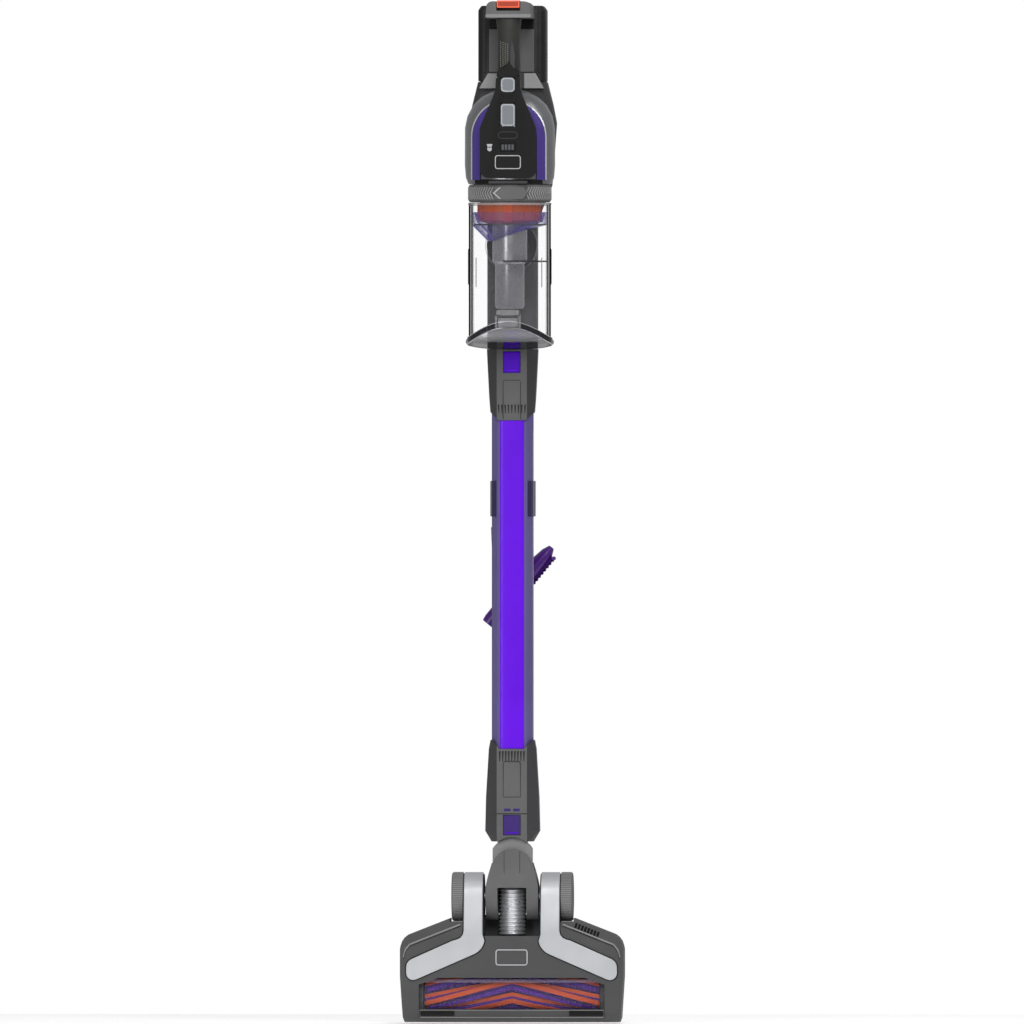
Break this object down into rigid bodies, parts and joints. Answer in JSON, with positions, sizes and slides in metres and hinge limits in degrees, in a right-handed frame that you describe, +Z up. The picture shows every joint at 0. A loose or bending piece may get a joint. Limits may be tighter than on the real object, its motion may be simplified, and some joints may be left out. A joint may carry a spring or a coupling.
{
  "type": "cordless stick vacuum",
  "caption": "Cordless stick vacuum: handheld motor unit with clear dust bowl, slide-on battery, release wand and swivelling powered floor head.",
  "frame": {"origin": "middle of the wall hook's flat back face, behind the wand's upper connector", "axes": "+Z up along the wand, -Y towards the side with the controls and the dust bowl, +X to the right seen from that side"},
  "size_m": [0.251, 0.1771, 1.146],
  "materials": {
    "dark_grey": "fine moulded texture",
    "black": "satin gloss",
    "silver": "silver metallic paint on plastic",
    "purple": "bright metallic purple",
    "dark_purple": "satin",
    "wand_side": "anodised, tinted",
    "orange": "satin",
    "clear": "clear polycarbonate",
    "purple_clear": "tinted translucent plastic",
    "light_grey": "fine moulded texture",
    "rubber": "matt",
    "steel": "machined",
    "board_green": "coated circuit board",
    "filter_white": "pleated paper"
  },
  "bodies": {
    "wand": {"wand_tube": "wand_side", "wand_strip": "purple", "upper_connector": "dark_grey", "lower_connector": "dark_grey", "hanger_plate": "dark_grey", "accessory_clip": "dark_grey", "clip_collar": "dark_purple"},
    "upper_button": {"upper_release_button": "purple"},
    "lower_button": {"lower_release_button": "dark_purple"},
    "tool": {"accessory_body": "dark_purple", "accessory_bristles": "dark_purple"},
    "handheld": {"inlet_duct": "dark_grey", "inlet_seal": "rubber", "rear_shell": "dark_grey", "motor_housing": "silver", "accent_band": "purple", "console_cover": "black", "gauge_lens": "clear", "handle": "dark_grey", "handle_bridge": "dark_grey", "control_board": "board_green", "motor_can": "steel", "terminal_block": "black", "cyclone_tube": "light_grey", "separator_skirt": "purple_clear", "filter_frame": "orange", "pleated_filter": "filter_white"},
    "power_key": {"power_button": "silver"},
    "boost_key": {"boost_button": "silver"},
    "battery_key": {"battery_release": "orange"},
    "fan_rotor": {"motor_shaft": "steel", "fan_wheel": "black"},
    "ring": {"filter_ring": "light_grey"},
    "bowl": {"dust_bowl": "clear"},
    "flap": {"inlet_flap": "rubber"},
    "door": {"bowl_door": "clear"},
    "latch": {"door_latch": "clear"},
    "battery": {"battery_case": "black", "battery_cells": "steel"},
    "floor_assembly": {"knuckle": "dark_grey"},
    "neck": {"neck_front": "dark_grey", "neck_rear": "dark_grey"},
    "head": {"head_shell": "dark_grey", "sole_plate": "dark_grey", "brush_window": "clear", "front_lens": "clear", "left_trim": "silver", "right_trim": "silver", "left_axle": "steel", "right_axle": "steel", "hose": "silver", "drive_belt": "rubber", "brush_motor": "steel"},
    "left_wheel_body": {"left_wheel": "light_grey"},
    "right_wheel_body": {"right_wheel": "light_grey"},
    "brush": {"brush_roll": "orange", "brush_shaft": "steel"},
    "brush_rotor": {"motor_pulley": "steel"}
  },
  "joints": [
    {"name": "upper_release_press", "type": "slide", "parent": "wand", "child": "upper_button", "axis": [0, 1, 0], "range_m": [0, 0.0022], "stiffness_N_per_m": 300},
    {"name": "lower_release_press", "type": "slide", "parent": "wand", "child": "lower_button", "axis": [0, 1, 0], "range_m": [0, 0.0022], "stiffness_N_per_m": 300},
    {"name": "tool_unclip", "type": "slide", "parent": "wand", "child": "tool", "axis": [0, 1, 0], "range_m": [0, 0.04]},
    {"name": "handheld_lift", "type": "slide", "parent": "wand", "child": "handheld", "axis": [0, 0, 1], "range_m": [0, 0.06]},
    {"name": "power_press", "type": "slide", "parent": "handheld", "child": "power_key", "axis": [0, 1, 0], "range_m": [0, 0.002], "stiffness_N_per_m": 300},
    {"name": "boost_press", "type": "slide", "parent": "handheld", "child": "boost_key", "axis": [0, 1, 0], "range_m": [0, 0.002], "stiffness_N_per_m": 300},
    {"name": "battery_release_press", "type": "slide", "parent": "handheld", "child": "battery_key", "axis": [0, 0, -1], "range_m": [0, 0.0025], "stiffness_N_per_m": 300},
    {"name": "fan_spin", "type": "hinge", "parent": "handheld", "child": "fan_rotor", "pos_m": [0, -0.107, 0.212], "axis": [0, 0, 1], "continuous": true},
    {"name": "filter_ring_turn", "type": "hinge", "parent": "handheld", "child": "ring", "pos_m": [0, -0.107, 0.192], "axis": [0, 0, 1], "continuous": true},
    {"name": "bowl_slide", "type": "slide", "parent": "handheld", "child": "bowl", "axis": [0, 0, -1], "range_m": [0, 0.12]},
    {"name": "flap_swing", "type": "hinge", "parent": "bowl", "child": "flap", "pos_m": [0, -0.0652, 0.15], "axis": [-1, 0, 0], "range_deg": [0, 30]},
    {"name": "door_swing", "type": "hinge", "parent": "bowl", "child": "door", "pos_m": [0, -0.061, 0.015], "axis": [1, 0, 0], "range_deg": [0, 85]},
    {"name": "latch_flex", "type": "hinge", "parent": "door", "child": "latch", "pos_m": [0, -0.1571, 0.041], "axis": [1, 0, 0], "range_deg": [0, 12], "stiffness_Nm_per_rad": 0.4},
    {"name": "battery_slide", "type": "slide", "parent": "handheld", "child": "battery", "axis": [0, 0, 1], "range_m": [0, 0.08]},
    {"name": "floor_head_release", "type": "slide", "parent": "wand", "child": "floor_assembly", "axis": [0, 0, -1], "range_m": [0, 0.085]},
    {"name": "neck_swivel", "type": "hinge", "parent": "floor_assembly", "child": "neck", "pos_m": [0, -0.032, -0.557], "axis": [0, 1, 0], "range_deg": [-40, 40]},
    {"name": "head_pitch", "type": "hinge", "parent": "neck", "child": "head", "pos_m": [0, -0.032, -0.597], "axis": [1, 0, 0], "range_deg": [-95, 5], "deforming": ["hose"]},
    {"name": "left_wheel_spin", "type": "hinge", "parent": "head", "child": "left_wheel_body", "pos_m": [-0.061, -0.032, -0.597], "axis": [1, 0, 0], "continuous": true},
    {"name": "right_wheel_spin", "type": "hinge", "parent": "head", "child": "right_wheel_body", "pos_m": [0.061, -0.032, -0.597], "axis": [1, 0, 0], "continuous": true},
    {"name": "brush_spin", "type": "hinge", "parent": "head", "child": "brush", "pos_m": [0, -0.0275, -0.707], "axis": [1, 0, 0], "continuous": true},
    {"name": "brush_motor_spin", "type": "hinge", "parent": "head", "child": "brush_rotor", "pos_m": [-0.068, -0.034, -0.662], "axis": [1, 0, 0], "continuous": true}
  ],
  "couplings": [
    {"joint": "brush_motor_spin", "follows": "brush_spin", "ratio": 1.5714}
  ]
}
